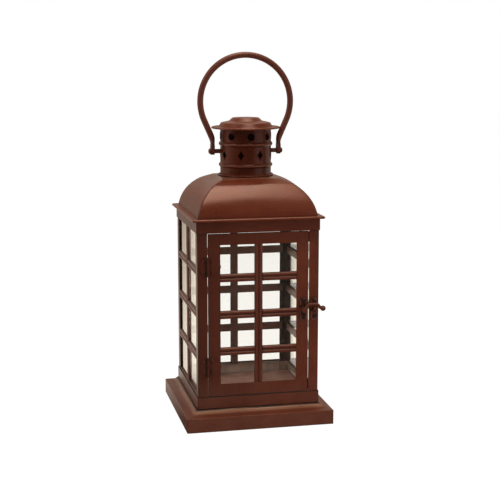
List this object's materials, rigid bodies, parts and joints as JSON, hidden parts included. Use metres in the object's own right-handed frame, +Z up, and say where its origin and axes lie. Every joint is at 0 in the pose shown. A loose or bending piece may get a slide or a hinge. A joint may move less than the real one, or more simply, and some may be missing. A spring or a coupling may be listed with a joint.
{
  "type": "candle lantern",
  "caption": "Square glazed candle lantern of painted tin with a hinged barred door, a lever latch, a vaulted roof, a punched chimney and a swinging carrying bail.",
  "frame": {"origin": "middle of the base, on the surface it stands on", "axes": "+Z up, the door faces -Y, the door's hinges are at -X and the latch at +X"},
  "size_m": [0.1824, 0.1824, 0.4522],
  "materials": {
    "painted_tin": "satin red-brown paint, darker at edges and seams",
    "painted_fittings": "satin red-brown paint, rubbed dark",
    "clear_glass": "clear sheet glass",
    "clip_steel": "plain bent strip"
  },
  "bodies": {
    "lantern_body": {"plinth": "painted_tin", "candle_floor": "painted_tin", "front_left_post": "painted_tin", "front_right_post": "painted_tin", "rear_left_post": "painted_tin", "rear_right_post": "painted_tin", "bottom_band": "painted_tin", "top_band": "painted_tin", "left_upright": "painted_tin", "right_upright": "painted_tin", "rear_upright": "painted_tin", "left_cross_bars": "painted_tin", "right_cross_bars": "painted_tin", "rear_cross_bars": "painted_tin", "left_glazing_strips": "painted_tin", "right_glazing_strips": "painted_tin", "rear_glazing_strips": "painted_tin", "door_stops": "painted_tin", "roof": "painted_tin", "chimney": "painted_tin", "cap": "painted_tin", "left_glass": "clear_glass", "right_glass": "clear_glass", "rear_glass": "clear_glass", "upper_hinge_post_leaf": "painted_fittings", "upper_hinge_pin": "painted_fittings", "lower_hinge_post_leaf": "painted_fittings", "lower_hinge_pin": "painted_fittings", "post_hinge_rivets": "painted_fittings", "keeper": "painted_fittings", "keeper_rivets": "painted_fittings", "bail_pins": "painted_fittings"},
    "door": {"door_frame": "painted_tin", "door_upright": "painted_tin", "door_cross_bars": "painted_tin", "door_glazing_strips": "painted_tin", "door_glass": "clear_glass", "door_glass_clips": "clip_steel", "upper_hinge_door_leaf": "painted_fittings", "lower_hinge_door_leaf": "painted_fittings", "door_hinge_rivets": "painted_fittings", "latch_plate": "painted_fittings", "latch_plate_rivets": "painted_fittings", "latch_pivot": "painted_fittings"},
    "latch_lever": {"latch_lever": "painted_fittings"},
    "bail": {"bail": "painted_fittings"}
  },
  "joints": [
    {"name": "door_swing", "type": "hinge", "parent": "lantern_body", "child": "door", "pos_m": [-0.0624, -0.0771, 0.1393], "axis": [0, 0, -1], "range_deg": [0, 175]},
    {"name": "latch_lift", "type": "hinge", "parent": "door", "child": "latch_lever", "pos_m": [0.0555, -0.0797, 0.143], "axis": [0, -1, 0], "range_deg": [-11.5, 80]},
    {"name": "bail_swing", "type": "hinge", "parent": "lantern_body", "child": "bail", "pos_m": [0, 0, 0.3312], "axis": [1, 0, 0], "range_deg": [-123, 123]}
  ]
}
